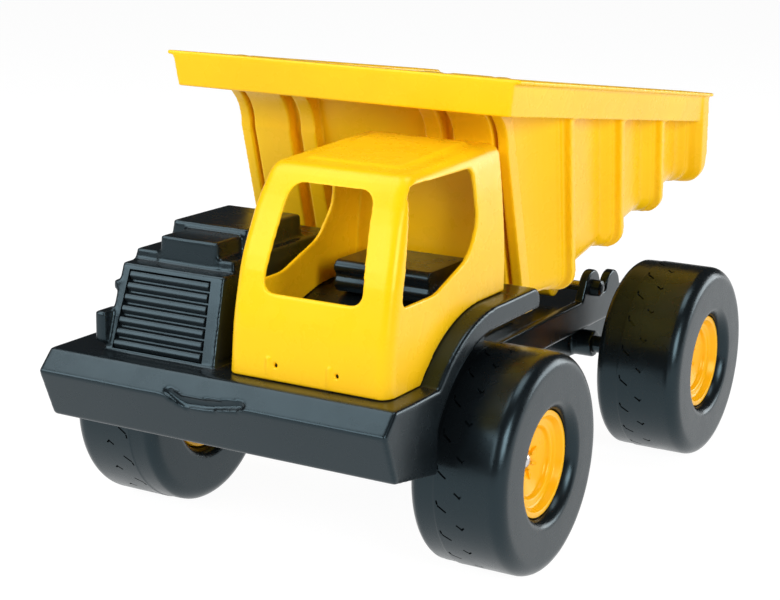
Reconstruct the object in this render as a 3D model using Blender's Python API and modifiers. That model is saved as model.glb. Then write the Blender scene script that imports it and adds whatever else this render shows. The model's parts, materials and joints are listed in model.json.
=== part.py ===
"""Toy haul truck with a tipping bed: black body and chassis, yellow cab and bed, four free-running wheels.

Every size below is in millimetres. The truck faces -Y, +X is its left side, Z is up and the ground is z = 0.
"""

import math

import bmesh
import bpy
from mathutils import Matrix, Vector

MM = 0.001
GAP = 0.3
ARC_STEPS = 4

# Wheels and axles
TYRE_RADIUS = 76.0
TYRE_WIDTH = 69.0
TYRE_SHOULDER = 7.0
TYRE_WALL = 3.5
TYRE_DISH_RADIUS = 44.0
WHEEL_X = 137.0
FRONT_AXLE_Y = -110.0
REAR_AXLE_Y = 192.0
AXLE_Z = TYRE_RADIUS
AXLE_RADIUS = 3.2
AXLE_HALF = 152.0
BORE_RADIUS = AXLE_RADIUS + GAP
HUB_RADIUS = 36.8
HUB_RIM_X = 27.5
HUB_BOSS_RADIUS = 9.0
HUB_BOSS_OUT = 11.5
HUB_BOSS_IN = -33.5
CAP_RADIUS = 5.0
CAP_TOP = 17.5
SPACER_RADIUS = 7.0
TYRE_STEPS = 32
HUB_STEPS = 24

# Chassis
RAIL_X = 53.0
RAIL_TOP = 106.0
RAIL_BOTTOM = 64.0
RAIL_WALL = 3.5
CHASSIS_FRONT = -188.0
CHASSIS_REAR = 262.0
NOSE_BOTTOM = 84.0
NOSE_REAR = -130.0
BOSS_HALF = 16.0
AXLE_BOSS_X = 71.0
AXLE_BOSS_RADIUS = 11.0
SPINE_X = 30.0
SPINE_TOP = 148.0
SPINE_FRONT = -20.0
SPINE_REAR = 120.0
EAR_OUT = 68.0
EAR_IN = 60.4
PIVOT_Y = 190.0
PIVOT_Z = 124.0
PIVOT_RADIUS = 4.0
EAR_RADIUS = 18.5
REAR_HUMP_Y = 232.0
REAR_HUMP_RADIUS = 15.0

# Front body
BODY_X = 133.0
RIDGE_Y = -268.0
RIDGE_Z = 131.5
BUMPER_TOP_Y = -255.0
DECK_Z = 145.0
BUMPER_BOTTOM_Y = -253.5
BUMPER_BOTTOM = 98.0
CHEEK_Y = -199.0
CHEEK_BOTTOM = 88.5
PLATFORM_Z = 183.0
BODY_REAR = -54.0
FENDER_Y = -118.0
FENDER_RADIUS = 107.0
ARCH_RADIUS = 91.5
WELL_FRONT = -199.0
WELL_X = 92.0
BODY_WALL = 3.5
HOOD_X = -55.0
HOOD_BASE_HALF = 45.0
HOOD_TOP_HALF = 41.0
HOOD_BASE_Y = -241.7
HOOD_TOP_Y = -222.7
HOOD_TOP = 202.0
HOOD_STEPS = (
    (-95.0, -15.0, -211.0, -82.0, 209.5),
    (-74.5, -27.5, -211.0, -180.0, 220.5),
    (-86.0, -23.5, -182.0, -115.0, 225.0),
)
LOUVRES = 8
LOUVRE_DEPTH = 4.0

# Cab
CAB_X = 60.0
CAB_STATIONS = (
    (140.0, -242.6, 59.4),
    (181.0, -240.0, 59.0),
    (219.0, -232.5, 58.2),
    (256.0, -218.5, 54.8),
    (274.0, -207.0, 51.8),
)
CAB_REAR = -88.0
CAB_TOP = 278.5
CAB_ROOF_RISE = 5.0
CAB_CORNER = 10.0
CAB_WALL = 3.0
ROOF_PANEL_INSET = 9.0
ROOF_PANEL_RISE = 2.0
WINDSHIELD = ((30.0, 268.0), (90.0, 268.0), (97.0, 200.0), (23.0, 200.0))
SIDE_WINDOW = (
    (-225.0, 200.0),
    (-206.0, 272.5),
    (-123.0, 272.5),
    (-121.0, 236.0),
    (-136.0, 216.0),
    (-181.0, 200.0),
)
CAB_SCREWS_X = (37.5, 82.5)
CAB_SCREW_Z = 155.5
CAB_TAB_HALF = 6.0
CAB_TAB_DEPTH = 6.0
CAB_TAB_TOP = 165.0
SEAT_X = (24.0, 96.0)
SEAT_Y = (-150.0, -94.0)
SEAT_TOP = 205.0
SEAT_ROLL = 9.0

# Bed: leaning coordinates put y = along - BED_LEAN * (z - BED_DATUM)
BED_LEAN = 0.30
BED_DATUM = 160.0
BED_FRONT = -26.0
BED_REAR = 290.0
BED_TAIL_Y = 267.9
BED_WALL = 3.2
BED_SIDE_X = 118.0
BED_CORNER_X = 109.0
BED_SWEEP = 42.0
BED_DRAFT = 0.07
BED_BOTTOM_ROUND = 16.0
FLOOR_START = 161.0
FLOOR_RISE = 0.18
RIM_START = 319.1
RIM_FALL = 0.1324
RIM_X = 134.5
RIM_BOTTOM_X = 131.5
RIM_HEIGHT = 22.0
RIM_LIP = 5.0
RIM_LIP_THICK = 3.0
CANOPY_Y = -112.8
CANOPY_Z = 327.4
RIB_STARTS = (25.0, 114.0, 193.0)
RIB_BASE_LENGTH = 19.5
RIB_BASE_X = 124.5
RIB_CREST_LENGTH = 7.0
RIB_CREST_X = 130.5
RIB_DROP = 4.0
POST_LENGTH = 24.0
GUSSETS = ((104.5, 8.0, 12.0), (82.0, 30.0, 10.0), (51.0, 12.0, 8.0))
LUG_X = (18.0, 34.0)
LUG_RADIUS = 12.0
TIP_PAD_X = 22.0

# Fasteners
SCREW_HEAD_RADIUS = 4.2
SCREW_SHANK_RADIUS = 1.8
CAB_SCREW_HEAD_RADIUS = 2.2
CAB_SCREW_SHANK_RADIUS = 1.2
BODY_SCREWS = ((-9.0, -178.0), (44.0, -178.0), (-34.0, -70.0), (34.0, -70.0))


def clear_scene():
    for obj in list(bpy.data.objects):
        bpy.data.objects.remove(obj, do_unlink=True)


def new_collection(name, hidden=False):
    collection = bpy.data.collections.new(name)
    collection.hide_render = hidden
    bpy.context.scene.collection.children.link(collection)
    return collection


clear_scene()
TRUCK = new_collection("toy_haul_truck")
HELPERS = new_collection("cutters", hidden=True)


def material(name, colour, roughness, metallic=0.0):
    made = bpy.data.materials.new(name)
    made.use_nodes = True
    shader = made.node_tree.nodes["Principled BSDF"]
    shader.inputs["Base Color"].default_value = (*colour, 1.0)
    shader.inputs["Roughness"].default_value = roughness
    shader.inputs["Metallic"].default_value = metallic
    made.diffuse_color = (*colour, 1.0)
    return made


YELLOW = (0.95, 0.62, 0.02)
BLACK = (0.02, 0.025, 0.03)
STEEL = (0.6, 0.6, 0.62)


def mesh_object(name, mesh, collection, helper=False):
    obj = bpy.data.objects.new(name, mesh)
    collection.objects.link(obj)
    if helper:
        obj.hide_render = True
        obj.display_type = "WIRE"
    return obj


def finished(name, shape):
    """A mesh from a bmesh, with its faces turned outward."""
    bmesh.ops.recalc_face_normals(shape, faces=shape.faces)
    mesh = bpy.data.meshes.new(name)
    shape.to_mesh(mesh)
    shape.free()
    return mesh


def loft(name, rings):
    """A closed solid through rings of the same number of points, each an (x, y, z) in millimetres."""
    shape = bmesh.new()
    loops = [[shape.verts.new(Vector(point) * MM) for point in ring] for ring in rings]
    count = len(rings[0])
    shape.faces.new(loops[0])
    shape.faces.new(list(reversed(loops[-1])))
    for near, far in zip(loops, loops[1:]):
        for index in range(count):
            after = (index + 1) % count
            shape.faces.new((near[index], far[index], far[after], near[after]))
    bmesh.ops.connect_verts_nonplanar(shape, angle_limit=math.radians(0.01), faces=shape.faces)
    return finished(name, shape)


def prism(name, outline, push):
    """A flat outline of (x, y, z) points in millimetres, pushed along a vector."""
    shape = bmesh.new()
    face = shape.faces.new([shape.verts.new(Vector(point) * MM) for point in outline])
    moved = bmesh.ops.extrude_face_region(shape, geom=[face])["geom"]
    verts = [item for item in moved if isinstance(item, bmesh.types.BMVert)]
    bmesh.ops.translate(shape, vec=Vector(push) * MM, verts=verts)
    return finished(name, shape)


def prism_x(outline, x0, x1):
    """A (y, z) outline pushed from x0 to x1."""
    return prism("prism_x", [(x0, y, z) for y, z in outline], (x1 - x0, 0.0, 0.0))


def prism_y(outline, y0, y1):
    """An (x, z) outline pushed from y0 to y1."""
    return prism("prism_y", [(x, y0, z) for x, z in outline], (0.0, y1 - y0, 0.0))


def box(x0, x1, y0, y1, z0, z1):
    shape = bmesh.new()
    size = Matrix.Diagonal(((x1 - x0) * MM, (y1 - y0) * MM, (z1 - z0) * MM, 1.0))
    middle = Matrix.Translation(Vector(((x0 + x1) / 2, (y0 + y1) / 2, (z0 + z1) / 2)) * MM)
    bmesh.ops.create_cube(shape, size=1.0, matrix=middle @ size)
    return finished("box", shape)


def cylinder(place, axis, radius, length, steps):
    """A cylinder centred at a place, in millimetres, lying along an axis."""
    shape = bmesh.new()
    turn = Vector(axis).to_track_quat("Z", "Y").to_matrix().to_4x4()
    bmesh.ops.create_cone(
        shape,
        cap_ends=True,
        segments=steps,
        radius1=radius * MM,
        radius2=radius * MM,
        depth=length * MM,
        matrix=Matrix.Translation(Vector(place) * MM) @ turn,
    )
    return finished("cylinder", shape)


def cylinder_x(y, z, radius, x0, x1, steps=24):
    return cylinder(((x0 + x1) / 2, y, z), (1, 0, 0), radius, x1 - x0, steps)


def cylinder_z(x, y, radius, z0, z1, steps=12):
    return cylinder((x, y, (z0 + z1) / 2), (0, 0, 1), radius, z1 - z0, steps)


def tapered(bottom, top):
    """A block between two level rectangles, each (x0, x1, y0, y1, z)."""
    rings = []
    for x0, x1, y0, y1, z in (bottom, top):
        rings.append([(x0, y0, z), (x1, y0, z), (x1, y1, z), (x0, y1, z)])
    return loft("tapered", rings)


def arc(centre_a, centre_b, radius, start, end, steps=ARC_STEPS):
    """Points round part of a circle, angles in degrees."""
    angles = [math.radians(start + (end - start) * index / steps) for index in range(steps + 1)]
    return [(centre_a + radius * math.cos(angle), centre_b + radius * math.sin(angle)) for angle in angles]


def rounded(outline, radius, steps=ARC_STEPS):
    """The outline with each corner replaced by a curve that starts a radius away from it."""
    points = []
    count = len(outline)
    for index, corner in enumerate(outline):
        corner = Vector(corner)
        before = Vector(outline[index - 1]) - corner
        after = Vector(outline[(index + 1) % count]) - corner
        start = corner + before.normalized() * min(radius, before.length * 0.45)
        end = corner + after.normalized() * min(radius, after.length * 0.45)
        for step in range(steps + 1):
            share = step / steps
            point = start * (1 - share) ** 2 + corner * 2 * share * (1 - share) + end * share**2
            points.append(tuple(point))
    return points


def combine(base, operation, meshes):
    """One Boolean with all of these meshes as helpers in their own hidden collection."""
    group = bpy.data.collections.new(f"{base.name}_{operation.lower()}")
    group.hide_render = True
    HELPERS.children.link(group)
    for number, mesh in enumerate(meshes):
        mesh_object(f"{base.name}_{operation.lower()}_{number}", mesh, group, helper=True)
    modifier = base.modifiers.new(operation.lower(), "BOOLEAN")
    modifier.operation = operation
    modifier.solver = "EXACT"
    modifier.operand_type = "COLLECTION"
    modifier.collection = group
    return modifier


def node(name, mesh, colour, roughness, metallic=0.0, origin=(0.0, 0.0, 0.0)):
    """An object of the truck, with its origin at a place in millimetres that its mesh already allows for."""
    mesh.transform(Matrix.Translation(-Vector(origin) * MM))
    made = mesh_object(name, mesh, TRUCK)
    made.location = Vector(origin) * MM
    made.data.materials.append(material(f"{name}_finish", colour, roughness, metallic))
    return made


def turned(name, profile, place, colour, roughness, metallic=0.0, flip=1, steps=20, axis="X"):
    """An (along, radius) profile turned about an axis at a place. One that starts on the axis ends on it too."""
    points = [(along * flip * MM, radius * MM) for along, radius in profile]
    after = points[1:] + points[:1]
    if sum(here[0] * there[1] - there[0] * here[1] for here, there in zip(points, after)) < 0.0:
        points.reverse()
    pairs = [(index, index + 1) for index in range(len(points) - 1)]
    if profile[0][1] != 0.0:
        pairs.append((len(points) - 1, 0))
    spots = {
        "X": [(along, 0.0, radius) for along, radius in points],
        "Y": [(radius, along, 0.0) for along, radius in points],
        "Z": [(radius, 0.0, along) for along, radius in points],
    }
    mesh = bpy.data.meshes.new(name)
    mesh.from_pydata(spots[axis], pairs, [])
    made = mesh_object(name, mesh, TRUCK)
    made.location = Vector(place) * MM
    made.data.materials.append(material(f"{name}_finish", colour, roughness, metallic))
    screw = made.modifiers.new("turn", "SCREW")
    screw.axis = axis
    screw.angle = 2 * math.pi
    screw.steps = steps
    screw.render_steps = steps
    screw.use_merge_vertices = True
    screw.merge_threshold = 0.00001
    return made


# Wheels


def tyre_profile():
    half = TYRE_WIDTH / 2
    side = TYRE_RADIUS - TYRE_SHOULDER
    bore = HUB_RADIUS + GAP
    outer = [(-HUB_RIM_X, bore), (-half, TYRE_DISH_RADIUS), (-half, side)]
    outer += arc(-half + TYRE_SHOULDER, side, TYRE_SHOULDER, 180, 90, 3)[1:]
    outer += arc(half - TYRE_SHOULDER, side, TYRE_SHOULDER, 90, 0, 3)
    outer += [(half, TYRE_DISH_RADIUS), (HUB_RIM_X, bore)]
    inside = half - TYRE_WALL
    lip = HUB_RIM_X - 6.0
    inner = [(lip, bore), (inside, TYRE_DISH_RADIUS + 2.0), (inside, side)]
    inner += [(inside - TYRE_WALL, TYRE_RADIUS - TYRE_WALL)]
    inner += [(-along, radius) for along, radius in reversed(inner)]
    return outer + inner


def hub_profile():
    barrel_inside = HUB_RADIUS - 2.5
    web_front = 17.0
    web_back = web_front - 2.5
    front = [
        (HUB_RIM_X, HUB_RADIUS - 1.0),
        (HUB_RIM_X, 32.5),
        (24.5, 31.0),
        (24.5, 25.5),
        (web_front, 22.0),
        (web_front, HUB_BOSS_RADIUS + 3.0),
        (HUB_BOSS_OUT, HUB_BOSS_RADIUS),
        (HUB_BOSS_OUT, BORE_RADIUS),
    ]
    back = [
        (HUB_BOSS_IN, BORE_RADIUS),
        (HUB_BOSS_IN, HUB_BOSS_RADIUS),
        (HUB_BOSS_OUT - 3.0, HUB_BOSS_RADIUS),
        (web_back, HUB_BOSS_RADIUS + 5.0),
        (web_back, 23.0),
        (21.5, 27.0),
        (21.5, barrel_inside),
        (-HUB_RIM_X, barrel_inside),
        (-HUB_RIM_X, HUB_RADIUS),
        (HUB_RIM_X - 1.0, HUB_RADIUS),
    ]
    return front + back


def cap_profile():
    pocket = AXLE_RADIUS + GAP
    seat = HUB_BOSS_OUT + GAP
    end = AXLE_HALF - WHEEL_X + GAP
    dome = [(CAP_TOP, 0.0), (CAP_TOP - 0.4, 2.4), (CAP_TOP - 1.6, 4.2), (CAP_TOP - 3.0, CAP_RADIUS)]
    return dome + [(seat, CAP_RADIUS + 1.2), (seat, pocket), (end, pocket), (end, 0.0)]


def wheel_set(label, y, sign):
    side = "left" if sign > 0 else "right"
    place = (sign * WHEEL_X, y, AXLE_Z)
    turned(f"tyre_{label}_{side}", tyre_profile(), place, BLACK, 0.45, flip=sign, steps=TYRE_STEPS)
    turned(f"hub_{label}_{side}", hub_profile(), place, YELLOW, 0.3, flip=sign, steps=HUB_STEPS)
    turned(f"axle_cap_{label}_{side}", cap_profile(), place, STEEL, 0.3, 0.9, sign)
    inner = AXLE_BOSS_X + GAP
    outer = WHEEL_X + HUB_BOSS_IN - GAP
    spacer = [(inner, BORE_RADIUS), (inner, SPACER_RADIUS), (outer, SPACER_RADIUS), (outer, BORE_RADIUS)]
    turned(f"spacer_{label}_{side}", spacer, (0.0, y, AXLE_Z), BLACK, 0.4, flip=sign)


def axle(label, y):
    end = AXLE_HALF
    profile = [(-end, 0.0), (-end, AXLE_RADIUS), (end, AXLE_RADIUS), (end, 0.0)]
    turned(f"axle_{label}", profile, (0.0, y, AXLE_Z), STEEL, 0.35, 0.9, 1)


# Chassis


def chassis_bays():
    """Stretches of Y between the cross walls under the chassis, each under 50 mm long."""
    runs = (
        (CHASSIS_FRONT, FRONT_AXLE_Y - BOSS_HALF, 2),
        (FRONT_AXLE_Y + BOSS_HALF, REAR_AXLE_Y - BOSS_HALF, 6),
        (REAR_AXLE_Y + BOSS_HALF, CHASSIS_REAR, 1),
    )
    bays = []
    for start, end, count in runs:
        pitch = (end - start) / count
        bays += [(start + pitch * number, start + pitch * (number + 1)) for number in range(count)]
    return bays


def chassis():
    made = node(
        "chassis",
        box(-RAIL_X, RAIL_X, CHASSIS_FRONT, CHASSIS_REAR, RAIL_BOTTOM, RAIL_TOP),
        BLACK,
        0.4,
    )
    adds = [box(-SPINE_X, SPINE_X, SPINE_FRONT, SPINE_REAR, RAIL_TOP - 2, SPINE_TOP)]
    for y in (FRONT_AXLE_Y, REAR_AXLE_Y):
        adds.append(cylinder_x(y, AXLE_Z, AXLE_BOSS_RADIUS, -AXLE_BOSS_X, AXLE_BOSS_X))
    adds.append(box(-EAR_OUT, EAR_OUT, 158.0, 254.0, RAIL_TOP - 14, RAIL_TOP))
    for sign in (-1, 1):
        inner, outer = sorted((sign * EAR_IN, sign * EAR_OUT))
        ear = [(PIVOT_Y - EAR_RADIUS - 8, RAIL_TOP - 2)]
        ear += arc(PIVOT_Y, PIVOT_Z, EAR_RADIUS, 180, 0, 12)
        ear += [(PIVOT_Y + EAR_RADIUS + 2, RAIL_TOP - 2)]
        adds.append(prism_x(ear, inner, outer))
        hump = [(REAR_HUMP_Y - REAR_HUMP_RADIUS - 6, RAIL_TOP - 2)]
        hump += arc(REAR_HUMP_Y, RAIL_TOP + 10, REAR_HUMP_RADIUS, 180, 0, 10)
        hump += [(REAR_HUMP_Y + REAR_HUMP_RADIUS + 4, RAIL_TOP - 2)]
        adds.append(prism_x(hump, inner, outer))
    combine(made, "UNION", adds)
    half_wall = RAIL_WALL / 2
    cuts = []
    for y0, y1 in chassis_bays():
        for x0, x1 in ((-RAIL_X + RAIL_WALL, -half_wall), (half_wall, RAIL_X - RAIL_WALL)):
            cuts.append(box(x0, x1, y0 + half_wall, y1 - half_wall, RAIL_BOTTOM - 1, RAIL_TOP - RAIL_WALL))
    spine_low = RAIL_TOP - RAIL_WALL - 1.0
    for y0, y1 in chassis_bays():
        if y0 >= SPINE_FRONT and y1 <= SPINE_REAR:
            for x0, x1 in ((-SPINE_X + RAIL_WALL, -half_wall), (half_wall, SPINE_X - RAIL_WALL)):
                cuts.append(box(x0, x1, y0 + half_wall, y1 - half_wall, spine_low, SPINE_TOP - RAIL_WALL))
    nose = [
        (CHASSIS_FRONT - 1.0, RAIL_BOTTOM - 5.0),
        (NOSE_REAR, RAIL_BOTTOM - 5.0),
        (NOSE_REAR, RAIL_BOTTOM),
        (CHASSIS_FRONT - 1.0, NOSE_BOTTOM),
    ]
    cuts.append(prism_x(nose, -RAIL_X - 1.0, RAIL_X + 1.0))
    for y in (FRONT_AXLE_Y, REAR_AXLE_Y):
        cuts.append(cylinder_x(y, AXLE_Z, BORE_RADIUS, -AXLE_BOSS_X - 1, AXLE_BOSS_X + 1))
        cuts.append(box(-RAIL_X + 8, RAIL_X - 8, y - 12, y + 12, RAIL_BOTTOM - 1, AXLE_Z + 14))
    cuts.append(cylinder_x(PIVOT_Y, PIVOT_Z, PIVOT_RADIUS + GAP, -EAR_OUT - 1, EAR_OUT + 1))
    for x, y in BODY_SCREWS:
        cuts.append(cylinder_z(x, y, SCREW_SHANK_RADIUS + GAP, RAIL_BOTTOM - 5, RAIL_TOP + 5))
    combine(made, "DIFFERENCE", cuts)
    return made


# Front body


def body_outline():
    start = 180.0 - math.degrees(math.asin((DECK_Z - AXLE_Z) / FENDER_RADIUS))
    fender = arc(FENDER_Y, AXLE_Z, FENDER_RADIUS, start, 90, 8)
    rear = arc(BODY_REAR - 10, PLATFORM_Z - 10, 10, 90, 0)
    return (
        [(BUMPER_BOTTOM_Y, BUMPER_BOTTOM), (RIDGE_Y, RIDGE_Z), (BUMPER_TOP_Y, DECK_Z)]
        + fender
        + rear
        + [(BODY_REAR, RAIL_TOP + GAP), (CHEEK_Y + 8, RAIL_TOP + GAP), (CHEEK_Y, CHEEK_BOTTOM)]
    )


def well_outline():
    """Opening over a front wheel: upright in front, round above, flat to the rear."""
    start = math.degrees(math.acos((WELL_FRONT - FENDER_Y) / ARCH_RADIUS))
    crown = arc(FENDER_Y, AXLE_Z, ARCH_RADIUS, start, 90, 8)
    behind = BODY_REAR + 5.0
    return [(WELL_FRONT, 50.0)] + crown + [(behind, AXLE_Z + ARCH_RADIUS), (behind, 50.0)]


def grille_frame(mid_z):
    """Front plane of the grille at a height: its y and half-width."""
    share = (mid_z - DECK_Z) / (HOOD_TOP - DECK_Z)
    y = HOOD_BASE_Y + share * (HOOD_TOP_Y - HOOD_BASE_Y)
    half = HOOD_BASE_HALF + share * (HOOD_TOP_HALF - HOOD_BASE_HALF)
    return y, half


def louvre_cuts():
    """Slots between the louvre bars, sunk into the leaning front of the hood."""
    cuts = []
    first = DECK_Z + 5.0
    pitch = (HOOD_TOP - 5.0 - first) / LOUVRES
    for number in range(LOUVRES):
        low = first + number * pitch
        high = low + pitch * 0.5
        y_low, half = grille_frame(low)
        y_high, _ = grille_frame(high)
        slot = [
            (y_low - 1.0, low),
            (y_low + LOUVRE_DEPTH, low),
            (y_high + LOUVRE_DEPTH, high),
            (y_high - 1.0, high),
        ]
        cuts.append(prism_x(slot, HOOD_X - half + 8.0, HOOD_X + half - 8.0))
    return cuts


def front_body():
    made = node("front_body", prism_x(body_outline(), -BODY_X, BODY_X), BLACK, 0.35)
    rear = -100.0
    hood = tapered(
        (HOOD_X - HOOD_BASE_HALF, HOOD_X + HOOD_BASE_HALF, HOOD_BASE_Y, rear, DECK_Z - 4),
        (HOOD_X - HOOD_TOP_HALF, HOOD_X + HOOD_TOP_HALF, HOOD_TOP_Y, rear, HOOD_TOP),
    )
    adds = [hood]
    for x0, x1, y0, y1, top in HOOD_STEPS:
        adds.append(box(x0, x1, y0, y1, HOOD_TOP - 22.0, top))
    combine(made, "UNION", adds)
    wells = []
    for sign in (-1, 1):
        inner, outer = sorted((sign * WELL_X, sign * (BODY_X + 1)))
        wells.append(prism_x(well_outline(), inner, outer))
    wall = BODY_WALL
    inside = BUMPER_BOTTOM + 6.0
    wells.append(box(-WELL_X + wall, WELL_X - wall, CHEEK_Y + 10, BODY_REAR - wall, 60.0, DECK_Z - wall))
    wells.append(box(-BODY_X + wall, BODY_X - wall, BUMPER_TOP_Y + 8, CHEEK_Y - wall, 60.0, inside + 32.0))
    under_top = DECK_Z - wall
    wells.append(box(-WELL_X + wall, WELL_X - wall, -130.0, BODY_REAR - 15.5, under_top - 1, PLATFORM_Z - wall))
    wells.append(
        tapered(
            (HOOD_X - 40, HOOD_X + 40, HOOD_BASE_Y + 10, -110.0, DECK_Z - wall - 2),
            (HOOD_X - 36, HOOD_X + 36, HOOD_TOP_Y + 10, -110.0, HOOD_TOP - wall),
        )
    )
    wells += louvre_cuts()
    combine(made, "DIFFERENCE", wells)
    posts = []
    for x, y in BODY_SCREWS:
        posts.append(cylinder_z(x, y, 5.0, RAIL_TOP + GAP, DECK_Z - 1.0 if y < -150 else PLATFORM_Z - 1.0))
    tab_y = cab_front(CAB_SCREW_Z) + CAB_WALL + 1.0
    for x in CAB_SCREWS_X:
        left = x + CAB_TAB_HALF
        posts.append(box(x - CAB_TAB_HALF, left, tab_y, tab_y + CAB_TAB_DEPTH, DECK_Z - 1.0, CAB_TAB_TOP))
    combine(made, "UNION", posts)
    holes = [cylinder_z(x, y, SCREW_SHANK_RADIUS + GAP, RAIL_TOP - 1, RAIL_TOP + 18.0) for x, y in BODY_SCREWS]
    for x in CAB_SCREWS_X:
        middle = (x, tab_y + CAB_TAB_DEPTH / 2, CAB_SCREW_Z)
        holes.append(cylinder(middle, (0, 1, 0), CAB_SCREW_SHANK_RADIUS + GAP, CAB_TAB_DEPTH + 2.0, 12))
    combine(made, "DIFFERENCE", holes)
    return made


# Cab


def cab_station(z):
    """Front plane and half-width of the bowed cab at a height."""
    for (low, low_y, low_half), (high, high_y, high_half) in zip(CAB_STATIONS, CAB_STATIONS[1:]):
        if z <= high:
            break
    share = (z - low) / (high - low)
    return low_y + share * (high_y - low_y), low_half + share * (high_half - low_half)


def cab_front(z):
    return cab_station(z)[0]


def cab_ring(z, inset, rise=0.0):
    """The cab's plan at a height, shrunk by an inset; with a rise it climbs towards the rear."""
    front, half = cab_station(z)
    y0 = front + inset
    y1 = CAB_REAR - inset
    x0 = CAB_X - half + inset
    x1 = CAB_X + half - inset
    plan = rounded(((x0, y0), (x1, y0), (x1, y1), (x0, y1)), max(3.0, CAB_CORNER - inset), 4)
    return [(x, y, z + rise * (y - y0) / (y1 - y0)) for x, y in plan]


def cab_shell():
    base = CAB_STATIONS[0][0]
    heights = [base] + [station[0] for station in CAB_STATIONS[1:]]
    rings = [cab_ring(z, 0.0) for z in heights[:-1]]
    rings.append(cab_ring(heights[-1], 0.0, CAB_ROOF_RISE))
    rings.append(cab_ring(CAB_TOP - 1.3, 1.2, CAB_ROOF_RISE))
    rings.append(cab_ring(CAB_TOP, 3.6, CAB_ROOF_RISE))
    made = node("cab_shell", loft("cab_shell", rings), YELLOW, 0.3)
    panel = [
        cab_ring(CAB_TOP - 1.0, ROOF_PANEL_INSET, CAB_ROOF_RISE),
        cab_ring(CAB_TOP + ROOF_PANEL_RISE, ROOF_PANEL_INSET + 2.0, CAB_ROOF_RISE),
    ]
    combine(made, "UNION", [loft("roof_panel", panel)])
    inner = [cab_ring(z, CAB_WALL) for z in [base - 1.0] + heights[1:-1]]
    inner.append(cab_ring(CAB_TOP - CAB_WALL, CAB_WALL + 1.0, CAB_ROOF_RISE))
    cuts = [loft("cab_cavity", inner)]
    front = rounded(WINDSHIELD, 10.0)
    cuts.append(prism_y(front, cab_front(base) - 10.0, cab_front(CAB_TOP) + 20.0))
    side = rounded(SIDE_WINDOW, 9.0)
    cuts.append(prism_x(side, CAB_X - 70.0, CAB_X + 70.0))
    lowest = base - 5.0
    deck = [(BUMPER_TOP_Y, lowest), (BUMPER_TOP_Y, DECK_Z + GAP)]
    deck += [(y, z + GAP) for y, z in body_outline() if y > BUMPER_TOP_Y and z >= DECK_Z]
    deck += [(BODY_REAR, lowest)]
    cuts.append(prism_x(deck, CAB_X - 70.0, CAB_X + 70.0))
    for x in CAB_SCREWS_X:
        middle = (x, cab_front(CAB_SCREW_Z), CAB_SCREW_Z)
        cuts.append(cylinder(middle, (0, 1, 0), CAB_SCREW_HEAD_RADIUS + GAP, 2 * CAB_WALL + 6.0, 12))
    combine(made, "DIFFERENCE", cuts)
    return made


def pan_head(seat, length, head, shank):
    """Profile of a screw whose head sits on a seat and whose shank runs on from it."""
    rise = head * 0.55
    return [
        (seat - rise, 0.0),
        (seat - rise, head * 0.6),
        (seat - rise * 0.6, head),
        (seat, head),
        (seat, shank),
        (seat + length, shank),
        (seat + length, 0.0),
    ]


def cab_screw(number, x):
    """A screw along Y, sunk in the foot of the cab's front and seated on a tab of the front body."""
    seat = cab_front(CAB_SCREW_Z) + CAB_WALL + 1.0 - GAP
    profile = pan_head(0.0, CAB_TAB_DEPTH + 1.0, CAB_SCREW_HEAD_RADIUS, CAB_SCREW_SHANK_RADIUS)
    turned(f"cab_screw_{number}", profile, (x, seat, CAB_SCREW_Z), STEEL, 0.35, 0.9, steps=12, axis="Y")


def body_screw(number, x, y):
    """A screw from below, through the chassis deck into a post of the front body."""
    seat = RAIL_TOP - RAIL_WALL - GAP
    profile = pan_head(0.0, 18.0, SCREW_HEAD_RADIUS, SCREW_SHANK_RADIUS)
    turned(f"body_screw_{number}", profile, (x, y, seat), STEEL, 0.35, 0.9, steps=12, axis="Z")


def bench_seat():
    y0, y1 = SEAT_Y
    low = PLATFORM_Z + GAP
    outline = [(y0, low), (y1, low), (y1, SEAT_TOP)]
    outline += arc(y0 + SEAT_ROLL, SEAT_TOP - SEAT_ROLL, SEAT_ROLL, 90, 180)
    node("bench_seat", prism_x(outline, *SEAT_X), BLACK, 0.4)


# Bed


def lean(x, along, z):
    return (x, along - BED_LEAN * (z - BED_DATUM), z)


def floor_z(along):
    return FLOOR_START + FLOOR_RISE * along


def rim_z(along):
    return RIM_START - RIM_FALL * along


def bed_section(along, half, drop=0.0, top=0.0, inset=0.0):
    """A cross-section of the bed at one place along it, from the rim down round the floor and back up."""
    low = floor_z(along) - drop + inset
    high = rim_z(along) + top
    foot = half - BED_DRAFT * (high - low)
    radius = BED_BOTTOM_ROUND - inset
    right = [(half, high)] + [(x, z) for x, z in arc(foot - radius, low + radius, radius, 0, -90)]
    points = right + [(-x, z) for x, z in reversed(right)]
    return [lean(x, along, z) for x, z in points]


def side_x(along):
    """Half-width of the bed wall: narrow at the front corners, swept out to the full width."""
    share = min(1.0, max(0.0, (along - BED_FRONT) / BED_SWEEP))
    return BED_CORNER_X + (BED_SIDE_X - BED_CORNER_X) * share


def hull():
    stops = [BED_FRONT, BED_FRONT + BED_SWEEP * 0.5, BED_FRONT + BED_SWEEP, BED_REAR]
    return loft("hull", [bed_section(along, side_x(along), top=1.5) for along in stops])


def hopper():
    stops = [BED_FRONT + BED_WALL, BED_FRONT + BED_SWEEP * 0.5, BED_FRONT + BED_SWEEP, BED_REAR + 10.0]
    sections = []
    for along in stops:
        sections.append(bed_section(along, side_x(along) - BED_WALL, top=20.0, inset=BED_WALL))
    return loft("hopper", sections)


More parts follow.
